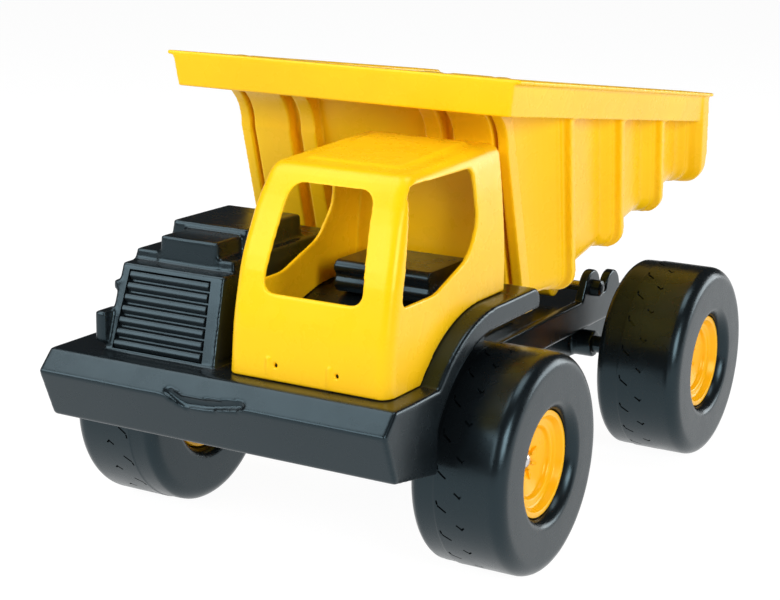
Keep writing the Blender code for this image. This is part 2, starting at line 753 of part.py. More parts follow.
def rim_slab(inset, low, high):
    """The slab of the rim and canopy, shrunk at its sides and front by an inset."""
    rings = []
    for drop, half in ((high, RIM_X), (low, RIM_BOTTOM_X)):
        front_y = CANOPY_Y + inset + (2.4 if drop else 0.0)
        rear = BED_REAR + (inset if inset else 0.0)
        rear_z = rim_z(rear) - drop
        rear_y = lean(0.0, rear, rear_z)[1]
        x = half - inset
        rings.append(
            [
                (-x, front_y, CANOPY_Z - drop),
                (x, front_y, CANOPY_Z - drop),
                (x, rear_y, rear_z),
                (-x, rear_y, rear_z),
            ]
        )
    return loft("rim_slab", rings)


def rim_lip():
    rings = []
    for drop in (0.0, RIM_LIP_THICK):
        x = RIM_X + RIM_LIP
        rear_z = rim_z(BED_REAR) - drop + RIM_LIP_THICK
        rear_y = lean(0.0, BED_REAR, rear_z)[1]
        front_z = CANOPY_Z - drop + RIM_LIP_THICK
        rings.append([(-x, CANOPY_Y, front_z), (x, CANOPY_Y, front_z), (x, rear_y, rear_z), (-x, rear_y, rear_z)])
    return loft("rim_lip", rings)


def side_ribs():
    """Stepped hoops round the sides and the floor, and a post at the rear edge."""
    hoops = []
    for start in RIB_STARTS:
        middle = start + RIB_BASE_LENGTH / 2
        hoops.append((start, start + RIB_BASE_LENGTH, RIB_BASE_X, RIB_DROP * 0.6))
        hoops.append((middle - RIB_CREST_LENGTH / 2, middle + RIB_CREST_LENGTH / 2, RIB_CREST_X, RIB_DROP))
    hoops.append((BED_REAR - POST_LENGTH, BED_REAR, RIB_BASE_X, 0.5))
    hoops.append((BED_REAR - 5.0, BED_REAR, RIM_BOTTOM_X, 1.5))
    made = []
    for start, end, half, drop in hoops:
        made.append(loft("rib", [bed_section(along, half, drop=drop, top=0.7) for along in (start, end)]))
    return made


def gussets():
    """Upright ribs on the front wall whose tops sweep forward to carry the canopy."""
    made = []
    low = floor_z(BED_FRONT) + 4.0
    high = CANOPY_Z - 2.0
    sweep = 30.0
    for centre, width, depth in GUSSETS:
        face = BED_FRONT - depth + 8.0
        start_z = high - sweep * 1.5
        start_y = lean(0, face, start_z)[1]
        curve = []
        for step in range(9):
            angle = math.radians(90 * step / 8)
            y = start_y - (start_y - CANOPY_Y - 3.0) * (1 - math.cos(angle))
            z = start_z + (high - start_z) * math.sin(angle)
            curve.append((y, z))
        back = BED_FRONT + 2.0
        outline = [lean(0, back, low)[1:], lean(0, face, low)[1:]] + curve + [lean(0, back, high)[1:]]
        for sign in (-1, 1):
            x0, x1 = sorted((sign * (centre - width / 2), sign * (centre + width / 2)))
            made.append(prism_x(outline, x0, x1))
    return made


def bed_lugs():
    """Hanging lugs that carry the hinge rod."""
    made = []
    top = floor_z(PIVOT_Y) + 4.0
    for sign in (-1, 1):
        inner, outer = sorted((sign * LUG_X[0], sign * LUG_X[1]))
        outline = [(PIVOT_Y - LUG_RADIUS - 6, top)] + arc(PIVOT_Y, PIVOT_Z, LUG_RADIUS, 180, 360, 12)
        outline += [(PIVOT_Y + LUG_RADIUS + 6, top)]
        made.append(prism_x(outline, inner, outer))
    return made


def rest_pads():
    """Two runners under the floor that sit on the chassis spine."""
    made = []
    for sign in (-1, 1):
        x0, x1 = sorted((sign * (TIP_PAD_X - 3.0), sign * (TIP_PAD_X + 3.0)))
        made.append(prism_x([(0.0, SPINE_TOP + GAP), (100.0, SPINE_TOP + GAP), (100.0, 184.0), (0.0, 166.0)], x0, x1))
    return made


def dump_bed():
    pivot = (0.0, PIVOT_Y, PIVOT_Z)
    made = node("dump_bed", rim_slab(0.0, RIM_HEIGHT, 0.0), YELLOW, 0.3, origin=pivot)
    combine(made, "DIFFERENCE", [rim_slab(BED_WALL, RIM_HEIGHT + 5.0, BED_WALL)])
    adds = [rim_lip(), hull()] + side_ribs() + gussets() + bed_lugs() + rest_pads()
    combine(made, "UNION", adds)
    cuts = [hopper()]
    cuts.append(cylinder_x(PIVOT_Y, PIVOT_Z, PIVOT_RADIUS + GAP, -LUG_X[1] - 1, LUG_X[1] + 1))
    combine(made, "DIFFERENCE", cuts)
    combine(made, "DIFFERENCE", [box(-RIM_X - 10.0, RIM_X + 10.0, BED_TAIL_Y, BED_TAIL_Y + 60.0, 150.0, 350.0)])
    return made


def hinge_rod():
    end = EAR_OUT + 6.0
    profile = [(-end, 0.0), (-end, PIVOT_RADIUS), (end, PIVOT_RADIUS), (end, 0.0)]
    turned("hinge_rod", profile, (0.0, PIVOT_Y, PIVOT_Z), STEEL, 0.35, 0.9, 1)
    for sign, side in ((-1, "right"), (1, "left")):
        seat = EAR_OUT + GAP
        pocket = PIVOT_RADIUS + GAP
        cap = [(end + 2.5, 0.0), (end + 2.2, 4.0), (end + 1.0, 6.5), (seat, 7.0), (seat, pocket)]
        cap += [(end + GAP, pocket), (end + GAP, 0.0)]
        turned(f"hinge_cap_{side}", cap, (0.0, PIVOT_Y, PIVOT_Z), BLACK, 0.4, 0.0, sign)


chassis()
front_body()
cab_shell()
bench_seat()
dump_bed()
hinge_rod()
for axle_label, axle_y in (("front", FRONT_AXLE_Y), ("rear", REAR_AXLE_Y)):
    axle(axle_label, axle_y)
    for wheel_sign in (1, -1):
        wheel_set(axle_label, axle_y, wheel_sign)
for screw_number, screw_x in enumerate(CAB_SCREWS_X, 1):
    cab_screw(screw_number, screw_x)
for screw_number, (screw_x, screw_y) in enumerate(BODY_SCREWS, 1):
    body_screw(screw_number, screw_x, screw_y)
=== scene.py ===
"""Looks of the toy haul truck: soft-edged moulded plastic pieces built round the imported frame.

Sizes are in millimetres unless a name says otherwise. The truck faces -Y, +X is its left side, Z is up.
"""

import json
import math

import bmesh
import bpy
import numpy as np
from mathutils import Matrix, Vector

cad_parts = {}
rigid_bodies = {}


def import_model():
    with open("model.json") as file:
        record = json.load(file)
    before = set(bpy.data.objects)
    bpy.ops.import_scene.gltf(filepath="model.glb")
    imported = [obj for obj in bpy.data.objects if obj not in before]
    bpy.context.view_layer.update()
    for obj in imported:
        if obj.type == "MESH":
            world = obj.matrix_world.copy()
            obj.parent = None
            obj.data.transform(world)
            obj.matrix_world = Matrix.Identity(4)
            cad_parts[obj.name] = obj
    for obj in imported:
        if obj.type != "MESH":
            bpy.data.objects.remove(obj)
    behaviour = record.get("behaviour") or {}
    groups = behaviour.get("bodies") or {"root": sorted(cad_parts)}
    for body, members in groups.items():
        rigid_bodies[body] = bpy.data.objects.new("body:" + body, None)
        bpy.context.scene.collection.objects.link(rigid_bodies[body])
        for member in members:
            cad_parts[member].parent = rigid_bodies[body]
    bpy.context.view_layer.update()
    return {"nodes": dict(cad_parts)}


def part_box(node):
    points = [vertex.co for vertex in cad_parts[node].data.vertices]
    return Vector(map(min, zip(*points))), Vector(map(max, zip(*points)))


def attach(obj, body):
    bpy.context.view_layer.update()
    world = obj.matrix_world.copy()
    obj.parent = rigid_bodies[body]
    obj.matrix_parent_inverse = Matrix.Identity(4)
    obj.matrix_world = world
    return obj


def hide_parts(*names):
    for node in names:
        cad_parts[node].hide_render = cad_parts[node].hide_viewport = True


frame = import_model()

MM = 0.001
# Thinning of flat areas: the size of a cell, and the bend in degrees that still counts as flat
THIN_CELL = 18.0
THIN_ANGLE = 0.9
# Edges that bend by more degrees than this are shaded sharp
SHARP_ANGLE = 42


# Places read from the frame


def span(node):
    """Lowest and highest corner of a CAD node, in millimetres."""
    low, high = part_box(node)
    return low / MM, high / MM


def middle(node):
    low, high = span(node)
    return (low + high) / 2


# Basic shapes, as meshes


def finished(name, shape):
    bmesh.ops.recalc_face_normals(shape, faces=shape.faces)
    mesh = bpy.data.meshes.new(name)
    shape.to_mesh(mesh)
    shape.free()
    return mesh


def loft(rings):
    """A closed solid through rings of the same number of points, each an (x, y, z)."""
    shape = bmesh.new()
    loops = [[shape.verts.new(Vector(point) * MM) for point in ring] for ring in rings]
    count = len(rings[0])
    shape.faces.new(loops[0])
    shape.faces.new(list(reversed(loops[-1])))
    for near, far in zip(loops, loops[1:]):
        for index in range(count):
            after = (index + 1) % count
            shape.faces.new((near[index], far[index], far[after], near[after]))
    bmesh.ops.connect_verts_nonplanar(shape, angle_limit=math.radians(0.01), faces=shape.faces)
    return finished("loft", shape)


def prism(outline, push):
    """A flat outline of (x, y, z) points, pushed along a vector."""
    shape = bmesh.new()
    face = shape.faces.new([shape.verts.new(Vector(point) * MM) for point in outline])
    moved = bmesh.ops.extrude_face_region(shape, geom=[face])["geom"]
    verts = [item for item in moved if isinstance(item, bmesh.types.BMVert)]
    bmesh.ops.translate(shape, vec=Vector(push) * MM, verts=verts)
    return finished("prism", shape)


def prism_x(outline, x0, x1):
    """A (y, z) outline pushed from x0 to x1."""
    return prism([(x0, y, z) for y, z in outline], (x1 - x0, 0.0, 0.0))


def prism_y(outline, y0, y1):
    """An (x, z) outline pushed from y0 to y1."""
    return prism([(x, y0, z) for x, z in outline], (0.0, y1 - y0, 0.0))


def box(x0, x1, y0, y1, z0, z1):
    shape = bmesh.new()
    size = Matrix.Diagonal(((x1 - x0) * MM, (y1 - y0) * MM, (z1 - z0) * MM, 1.0))
    place = Matrix.Translation(Vector(((x0 + x1) / 2, (y0 + y1) / 2, (z0 + z1) / 2)) * MM)
    bmesh.ops.create_cube(shape, size=1.0, matrix=place @ size)
    return finished("box", shape)


def cylinder(place, axis, radius, length, steps=32):
    shape = bmesh.new()
    turn = Vector(axis).to_track_quat("Z", "Y").to_matrix().to_4x4()
    bmesh.ops.create_cone(
        shape,
        cap_ends=True,
        segments=steps,
        radius1=radius * MM,
        radius2=radius * MM,
        depth=length * MM,
        matrix=Matrix.Translation(Vector(place) * MM) @ turn,
    )
    return finished("cylinder", shape)


def cylinder_x(y, z, radius, x0, x1, steps=48):
    return cylinder(((x0 + x1) / 2, y, z), (1, 0, 0), radius, x1 - x0, steps)


def tapered(bottom, top):
    """A block between two level rectangles, each (x0, x1, y0, y1, z)."""
    rings = []
    for x0, x1, y0, y1, z in (bottom, top):
        rings.append([(x0, y0, z), (x1, y0, z), (x1, y1, z), (x0, y1, z)])
    return loft(rings)


def arc(centre_a, centre_b, radius, start, end, steps=8):
    """Points round part of a circle, angles in degrees."""
    angles = [math.radians(start + (end - start) * index / steps) for index in range(steps + 1)]
    return [(centre_a + radius * math.cos(angle), centre_b + radius * math.sin(angle)) for angle in angles]


def rounded(outline, radius, steps=6):
    """The outline with each corner replaced by a curve that starts a radius away from it."""
    points = []
    count = len(outline)
    for index, corner in enumerate(outline):
        corner = Vector(corner)
        before = Vector(outline[index - 1]) - corner
        after = Vector(outline[(index + 1) % count]) - corner
        start = corner + before.normalized() * min(radius, before.length * 0.45)
        end = corner + after.normalized() * min(radius, after.length * 0.45)
        for step in range(steps + 1):
            share = step / steps
            point = start * (1 - share) ** 2 + corner * 2 * share * (1 - share) + end * share**2
            points.append(tuple(point))
    return points


# Pieces


def combine(piece, operation, meshes):
    """One Boolean with these meshes; the helpers are removed when the piece is settled."""
    group = bpy.data.collections.new(f"{piece.name}_{operation.lower()}")
    for mesh in meshes:
        group.objects.link(bpy.data.objects.new("helper", mesh))
    modifier = piece.modifiers.new(operation.lower(), "BOOLEAN")
    modifier.operation = operation
    modifier.solver = "EXACT"
    modifier.operand_type = "COLLECTION"
    modifier.collection = group


def settle(piece):
    """Turns the piece's modifiers into its mesh and removes their helpers."""
    groups = [modifier.collection for modifier in piece.modifiers if modifier.type == "BOOLEAN"]
    graph = bpy.context.evaluated_depsgraph_get()
    graph.update()
    mesh = bpy.data.meshes.new_from_object(piece.evaluated_get(graph))
    piece.modifiers.clear()
    piece.data = mesh
    for group in groups:
        for helper in list(group.objects):
            bpy.data.objects.remove(helper, do_unlink=True)
        bpy.data.collections.remove(group)
    mesh.name = piece.name
    mesh.shade_smooth()
    mesh.set_sharp_from_angle(angle=math.radians(SHARP_ANGLE))


def even_shading(piece):
    """Lets large flat faces keep a flat look beside their rounded edges."""
    weighted = piece.modifiers.new("weighted", "WEIGHTED_NORMAL")
    weighted.mode = "FACE_AREA"
    weighted.weight = 80
    weighted.keep_sharp = True


def chequered(mesh, cell):
    """Gives neighbouring cells of space different material numbers, so that thinning stays inside a cell."""
    centres = np.empty(len(mesh.polygons) * 3, dtype=np.float32)
    mesh.polygons.foreach_get("center", centres)
    cells = np.floor(centres.reshape(-1, 3) / (cell * MM)).astype(np.int32)
    mesh.polygons.foreach_set("material_index", cells.sum(axis=1) % 2)


def thinned(piece):
    """Merges the flat stretches of a fine mesh into larger faces."""
    chequered(piece.data, THIN_CELL)
    thin = piece.modifiers.new("thin", "DECIMATE")
    thin.decimate_type = "DISSOLVE"
    thin.delimit = {"MATERIAL"}
    thin.angle_limit = math.radians(THIN_ANGLE)
    settle(piece)
    piece.data.polygons.foreach_set("material_index", np.zeros(len(piece.data.polygons), dtype=np.int32))


def moulded(name, base, steps, voxel, rounds, finish, body, replaced, details=()):
    """A moulding: Booleans on the base, then a fine remesh whose smoothing rounds every edge.

    The details are Booleans made after that, which keep their crisp edges.
    """
    piece = bpy.data.objects.new(name, base)
    bpy.context.scene.collection.objects.link(piece)
    for operation, meshes in steps:
        combine(piece, operation, meshes)
    remesh = piece.modifiers.new("remesh", "REMESH")
    remesh.mode = "VOXEL"
    remesh.voxel_size = voxel * MM * 1.0
    soften = piece.modifiers.new("soften", "SMOOTH")
    soften.factor = 0.5
    soften.iterations = rounds
    settle(piece)
    thinned(piece)
    if details:
        piece.modifiers.new("triangles", "TRIANGULATE")
        for operation, meshes in details:
            combine(piece, operation, meshes)
        settle(piece)
    even_shading(piece)
    return dressed(piece, finish, body, replaced)


def dressed(piece, finish, body, replaced):
    piece.data.materials.clear()
    piece.data.materials.append(finish)
    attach(piece, body)
    if replaced:
        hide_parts(*replaced)
    return piece


def lathe(name, profile, steps=96):
    """A closed (along, radius) profile turned about X, centred on the origin."""
    shape = bmesh.new()
    rings = []
    for step in range(steps):
        angle = 2 * math.pi * step / steps
        cosine, sine = math.cos(angle), math.sin(angle)
        points = [(along * MM, radius * MM * cosine, radius * MM * sine) for along, radius in profile]
        rings.append([shape.verts.new(point) for point in points])
    count = len(profile)
    for step, ring in enumerate(rings):
        following = rings[(step + 1) % steps]
        for index in range(count):
            after = (index + 1) % count
            shape.faces.new((ring[index], ring[after], following[after], following[index]))
    bmesh.ops.remove_doubles(shape, verts=shape.verts, dist=1e-6)
    return finished(name, shape)


# Materials


def new_material(name):
    made = bpy.data.materials.new(name)
    made.use_nodes = True
    return made, made.node_tree.nodes, made.node_tree.links


def noise(nodes, links, coordinates, scale, detail):
    texture = nodes.new("ShaderNodeTexNoise")
    texture.inputs["Scale"].default_value = scale
    texture.inputs["Detail"].default_value = detail
    links.new(coordinates, texture.inputs["Vector"])
    return texture.outputs["Fac"]


def ranged(nodes, links, value, low, high):
    span_node = nodes.new("ShaderNodeMapRange")
    span_node.inputs["From Min"].default_value = 0.3
    span_node.inputs["From Max"].default_value = 0.7
    span_node.inputs["To Min"].default_value = low
    span_node.inputs["To Max"].default_value = high
    links.new(value, span_node.inputs["Value"])
    return span_node.outputs["Result"]


def plastic(name, dark, light, roughness, grain, grain_size, tint):
    """Moulded plastic: slow colour drift, a roughness that varies, a fine surface grain and soft waves."""
    made, nodes, links = new_material(name)
    shader = nodes["Principled BSDF"]
    coordinates = nodes.new("ShaderNodeTexCoord").outputs["Object"]
    mix = nodes.new("ShaderNodeMix")
    mix.data_type = "RGBA"
    mix.inputs["A"].default_value = (*dark, 1.0)
    mix.inputs["B"].default_value = (*light, 1.0)
    drift = noise(nodes, links, coordinates, 14.0, 3.0)
    links.new(ranged(nodes, links, drift, 0.0, 1.0), mix.inputs["Factor"])
    links.new(mix.outputs["Result"], shader.inputs["Base Color"])
    patches = noise(nodes, links, coordinates, 60.0, 4.0)
    spread = roughness * 0.15
    gloss = ranged(nodes, links, patches, roughness - spread, roughness + spread)
    links.new(gloss, shader.inputs["Roughness"])
    waves = nodes.new("ShaderNodeBump")
    waves.inputs["Strength"].default_value = 0.25
    waves.inputs["Distance"].default_value = 0.00015
    links.new(noise(nodes, links, coordinates, 45.0, 1.0), waves.inputs["Height"])
    fine = nodes.new("ShaderNodeBump")
    fine.inputs["Strength"].default_value = grain
    fine.inputs["Distance"].default_value = 0.00003
    links.new(noise(nodes, links, coordinates, 1000.0 / grain_size, 2.0), fine.inputs["Height"])
    links.new(waves.outputs["Normal"], fine.inputs["Normal"])
    links.new(fine.outputs["Normal"], shader.inputs["Normal"])
    shader.inputs["Specular Tint"].default_value = (*tint, 1.0)
    return made


def steel():
    made, nodes, links = new_material("bright_steel")
    shader = nodes["Principled BSDF"]
    coordinates = nodes.new("ShaderNodeTexCoord").outputs["Object"]
    shader.inputs["Base Color"].default_value = (0.62, 0.62, 0.63, 1.0)
    shader.inputs["Metallic"].default_value = 1.0
    scratches = noise(nodes, links, coordinates, 700.0, 4.0)
    links.new(ranged(nodes, links, scratches, 0.2, 0.38), shader.inputs["Roughness"])
    bump = nodes.new("ShaderNodeBump")
    bump.inputs["Strength"].default_value = 0.15
    bump.inputs["Distance"].default_value = 0.0001
    links.new(scratches, bump.inputs["Height"])
    links.new(bump.outputs["Normal"], shader.inputs["Normal"])
    return made


# Tints of the surface gloss, then the two ends of the black plastics' colour
WARM = (1.0, 0.86, 0.36)
COOL = (0.58, 0.86, 1.0)
SOOT = (0.004, 0.0055, 0.0065)
COAL = (0.006, 0.008, 0.0095)

YELLOW = plastic("yellow_moulding", (0.96, 0.53, 0.004), (0.98, 0.59, 0.006), 0.28, 0.25, 0.9, WARM)
HUB_YELLOW = plastic("yellow_hub_plastic", (0.97, 0.46, 0.004), (0.98, 0.51, 0.005), 0.26, 0.2, 0.7, WARM)
BLACK = plastic("black_moulding", SOOT, COAL, 0.26, 0.5, 0.7, COOL)
FRAME_BLACK = plastic("black_frame_plastic", SOOT, COAL, 0.24, 0.3, 0.8, COOL)
TYRE_BLACK = plastic("black_tyre_plastic", SOOT, COAL, 0.27, 0.45, 0.6, COOL)
STEEL = steel()


# Wheels: a hollow moulded tyre with a seam and tread nicks, a dished hub and a domed cap


TYRE_RADIUS = (span("tyre_front_left")[1].z - span("tyre_front_left")[0].z) / 2
TYRE_HALF = (span("tyre_front_left")[1].x - span("tyre_front_left")[0].x) / 2
SHOULDER = 10.0
DISH_RADIUS = 45.0
HUB_RADIUS = (span("hub_front_left")[1].z - span("hub_front_left")[0].z) / 2
HUB_RIM = 27.5
SEAM_X = -14.6
NICKS = 20
NICK_DEPTH = 1.6


def tyre_profile():
    side = TYRE_RADIUS - SHOULDER
    bore = HUB_RADIUS + 0.35
    lip = DISH_RADIUS - bore
    outside = [(HUB_RIM - 9.0, bore), (TYRE_HALF - lip * 1.4, bore)]
    for step in range(1, 8):
        angle = math.pi / 2 * step / 7
        outside.append((TYRE_HALF - lip * 1.4 * (1 - math.sin(angle)), bore + lip * (1 - math.cos(angle))))
    outside.append((TYRE_HALF, (side + DISH_RADIUS) / 2))
    outside += [(TYRE_HALF, side - 2.0)]
    outside += arc(TYRE_HALF - SHOULDER, side, SHOULDER, 4, 86, 9)
    seam = [(SEAM_X + 1.0, TYRE_RADIUS), (SEAM_X, TYRE_RADIUS), (SEAM_X - 1.0, TYRE_RADIUS - 0.5)]
    tread = [(TYRE_HALF - SHOULDER - 1.5, TYRE_RADIUS), (8.0, TYRE_RADIUS)] + seam
    inside = [(-along, radius) for along, radius in reversed(outside)]
    inside = [(along, radius - 0.5 if radius > TYRE_RADIUS - 0.4 else radius) for along, radius in inside]
    wall = 4.0
    hollow = [
        (-(HUB_RIM - 9.0), bore + wall),
        (-(TYRE_HALF - wall), DISH_RADIUS + wall),
        (-(TYRE_HALF - wall), side),
        (-(TYRE_HALF - wall - 4.0), TYRE_RADIUS - wall),
    ]
    hollow += [(-along, radius) for along, radius in reversed(hollow)]
    return outside + tread + inside + hollow


def nick(x, angle, length, width, skew):
    """A thin slanted wedge across the tread at an angle round the axle."""
    radius = TYRE_RADIUS + 2.0
    half = length / 2
    outline = [(-half, -width / 2), (half, -width / 2), (half, width / 2), (-half, width / 2)]
    turn = math.radians(skew)
    ring_in = []
    ring_out = []
    for a, b in outline:
        across = a * math.cos(turn) - b * math.sin(turn)
        around = a * math.sin(turn) + b * math.cos(turn)
        spot = angle + around / TYRE_RADIUS
        low = TYRE_RADIUS - NICK_DEPTH
        ring_in.append((x + across, low * math.cos(spot), low * math.sin(spot)))
        ring_out.append((x + across, radius * math.cos(spot), radius * math.sin(spot)))
    return loft([ring_in, ring_out])


def tread_nicks():
    cuts = []
    pitch = 2 * math.pi / NICKS
    for number in range(NICKS):
        angle = number * pitch
        cuts.append(nick(2.4, angle, 4.6, 1.3, 35))
        cuts.append(nick(5.0, angle + 0.012, 3.4, 1.3, -48))
        cuts.append(nick(-8.8, angle + pitch / 2, 7.5, 1.3, 35))
        cuts.append(nick(-12.2, angle + pitch / 2 - 0.055, 3.0, 1.3, 80))
    return cuts


def tyre_mesh():
    piece = bpy.data.objects.new("tyre_pattern", lathe("tyre_pattern", tyre_profile(), 128))
    bpy.context.scene.collection.objects.link(piece)
    combine(piece, "DIFFERENCE", tread_nicks())
    settle(piece)
    mesh = piece.data
    bpy.data.objects.remove(piece, do_unlink=True)
    return mesh


def hub_mesh():
    barrel = HUB_RADIUS - 2.8
    front = [
        (-HUB_RIM + 2.0, HUB_RADIUS),
        (HUB_RIM - 1.2, HUB_RADIUS),
        (HUB_RIM - 0.3, HUB_RADIUS - 0.4),
        (HUB_RIM, HUB_RADIUS - 1.3),
        (HUB_RIM, HUB_RADIUS - 3.4),
        (HUB_RIM - 0.5, HUB_RADIUS - 4.2),
        (23.4, 31.2),
        (22.4, 30.2),
        (22.0, 28.8),
        (22.0, 26.0),
        (21.6, 25.0),
        (20.4, 24.4),
        (18.9, 24.0),
        (18.0, 23.0),
        (15.2, 13.4),
        (14.6, 12.4),
        (14.2, 9.4),
        (13.8, 8.6),
        (11.6, 8.2),
        (11.6, 3.5),
    ]
    back = [
        (-33.4, 3.5),
        (-33.4, 9.0),
        (9.0, 9.0),
        (12.0, 14.5),
        (15.6, 24.6),
        (19.0, 27.5),
        (19.0, barrel),
        (-HUB_RIM, barrel),
        (-HUB_RIM, HUB_RADIUS - 1.0),
    ]
    piece = bpy.data.objects.new("hub_pattern", lathe("hub_pattern", front + back, 96))
    bpy.context.scene.collection.objects.link(piece)
    ribs = []
    for number in range(8):
        angle = math.radians(45 * number + 20)
        turn = Matrix.Rotation(angle, 4, "X")
        rib = box(12.6, 16.4, -1.1, 1.1, 7.6, 15.2)
        rib.transform(turn)
        ribs.append(rib)
    combine(piece, "UNION", ribs)
    bevel = piece.modifiers.new("soft", "BEVEL")
    bevel.width = 0.35 * MM
    bevel.segments = 2
    bevel.limit_method = "ANGLE"
    bevel.angle_limit = math.radians(60)
    settle(piece)
    mesh = piece.data
    bpy.data.objects.remove(piece, do_unlink=True)
    return mesh


def cap_mesh():
    """A low dome on a short flanged skirt, hollow where the axle's end goes in."""
    tip, rise, radius = 17.6, 3.0, 5.3
    dome = []
    for step in range(10):
        angle = math.radians(10 * step)
        dome.append((tip - rise * (1 - math.cos(angle)), radius * math.sin(angle)))
    skirt = [(13.2, 5.4), (12.4, 5.9), (11.8, 5.9), (11.8, 3.6), (15.3, 3.6), (15.3, 0.0)]
    return lathe("cap_pattern", dome + skirt, 48)


def wheels():
    patterns = {"tyre": tyre_mesh(), "hub": hub_mesh(), "axle_cap": cap_mesh()}
    finishes = {"tyre": TYRE_BLACK, "hub": HUB_YELLOW, "axle_cap": STEEL}
    for end, turn in (("front", 3.0), ("rear", -5.0)):
        for side, sign in (("left", 1), ("right", -1)):
            centre = middle(f"tyre_{end}_{side}")
            for kind, pattern in patterns.items():
                mesh = pattern.copy()
                mesh.transform(Matrix.Rotation(math.radians(turn), 4, "X"))
                if sign < 0:
                    mesh.transform(Matrix.Rotation(math.pi, 4, "Z"))
                piece = bpy.data.objects.new(f"{kind}_{end}_{side}_look", mesh)
                bpy.context.scene.collection.objects.link(piece)
                piece.location = centre * MM
                mesh.shade_smooth()
                even_shading(piece)
                body = f"axle_{end}" if kind == "axle_cap" else f"wheel_{end}_{side}"
                dressed(piece, finishes[kind], body, [f"{kind}_{end}_{side}"])
    for pattern in patterns.values():
        bpy.data.meshes.remove(pattern)


wheels()


# Bed: leaning coordinates put y = along - BED_LEAN * (z - BED_DATUM)


BED_LEAN = 0.30
BED_DATUM = 160.0
BED_FRONT = -26.0
WALL_FRONT = BED_FRONT + 6.0
BED_REAR = 290.0
BED_TAIL_Y = 267.9
BED_WALL = 3.2
BED_SIDE_X = 118.0
BED_CORNER_X = 109.5
BED_DRAFT = 0.07
BED_BOTTOM_ROUND = 16.0
FLOOR_START = 155.0
FLOOR_RISE = 0.20
RIM_START = 319.1
RIM_FALL = 0.1324
RIM_X = 134.5
RIM_BOTTOM_X = 131.5
RIM_HEIGHT = 22.0
RIM_LIP = 5.0
RIM_LIP_THICK = 3.0
CANOPY_Y = -112.8
CANOPY_Z = 327.4
CREST_STARTS = (31.2, 120.2, 199.2)
CREST_LENGTH = 7.0
CREST_X = 131.0
FLANGE_X = 135.5
LAND = 3.4
LAND_X = 124.5
FILLET = 9.6
RIB_DROP = 0.2
GUSSETS = ((104.8, 8.4), (82.0, 31.0), (51.5, 13.0))
PIVOT = middle("hinge_rod")
LUG_X = (18.0, 34.0)
LUG_RADIUS = 12.0
SPINE_TOP = 148.0


def lean(x, along, z):
    return (x, along - BED_LEAN * (z - BED_DATUM), z)


def floor_z(along):
    return FLOOR_START + FLOOR_RISE * along


def rim_z(along):
    return RIM_START - RIM_FALL * along


def bed_section(along, half, drop=0.0, top=0.0, inset=0.0):
    """A cross-section of the bed at one place along it, from the rim down round the floor and back up."""
    low = floor_z(along) - drop + inset
    high = rim_z(along) + top
    foot = half - BED_DRAFT * (high - low)
    radius = BED_BOTTOM_ROUND - inset
    right = [(half, high)] + list(arc(foot - radius, low + radius, radius, 0, -90, 6))
    points = right + [(-x, z) for x, z in reversed(right)]
    return [lean(x, along, z) for x, z in points]


def side_x(along):
    """Half-width of the wall: a concave sweep from the front corner out to the first rib's land."""
    end = CREST_STARTS[0] - LAND
    if along >= end:
        return BED_SIDE_X
    share = (along - BED_FRONT) / (end - BED_FRONT)
    return BED_CORNER_X + (LAND_X - BED_CORNER_X) * share**2.2


def hull():
    end = CREST_STARTS[0] - LAND
    stops = [WALL_FRONT + (end - WALL_FRONT) * step / 10 for step in range(11)]
    rings = [bed_section(along, side_x(along) if along < end else LAND_X, top=1.5) for along in stops]
    rings.append(bed_section(end + 1.0, BED_SIDE_X, top=1.5))
    rings.append(bed_section(BED_REAR, BED_SIDE_X, top=1.5))
    return loft(rings)


def hopper():
    stops = [WALL_FRONT + BED_WALL, BED_FRONT + 24.0, BED_FRONT + 42.0, BED_REAR + 10.0]
    widths = [108.8, 112.0, BED_SIDE_X, BED_SIDE_X]
    sections = []
    for along, half in zip(stops, widths):
        sections.append(bed_section(along, half - BED_WALL, top=20.0, inset=BED_WALL))
    return loft(sections)


def rim_slab(inset, low, high):
    """The slab of the rim and canopy, shrunk at its sides and front by an inset."""
    rings = []
    for drop, half in ((high, RIM_X), (low, RIM_BOTTOM_X)):
        front_y = CANOPY_Y + inset + (2.4 if drop else 0.0)
        rear = BED_REAR + inset
        rear_z = rim_z(rear) - drop
        rear_y = lean(0.0, rear, rear_z)[1]
        x = half - inset
        plan = [(-x, front_y), (x, front_y)]
        rings.append([(px, py, CANOPY_Z - drop) for px, py in plan])
        rings[-1] += [(x, rear_y, rear_z), (-x, rear_y, rear_z)]
    return loft(rings)


def rim_lip():
    rings = []
    for drop in (0.0, RIM_LIP_THICK):
        x = RIM_X + RIM_LIP
        rear_z = rim_z(BED_REAR) - drop + RIM_LIP_THICK
        rear_y = lean(0.0, BED_REAR, rear_z)[1]
        front_z = CANOPY_Z - drop + RIM_LIP_THICK
        ring = [(-x, CANOPY_Y, front_z), (x, CANOPY_Y, front_z)]
        rings.append(ring + [(x, rear_y, rear_z), (-x, rear_y, rear_z)])
    return loft(rings)


def hoop(stations):
    """A rib round the sides and the floor, through (along, half-width) stations."""
    rings = []
    for along, half in stations:
        rings.append(bed_section(along, half, drop=max(0.0, (half - BED_SIDE_X) * RIB_DROP), top=0.7))
    return loft(rings)


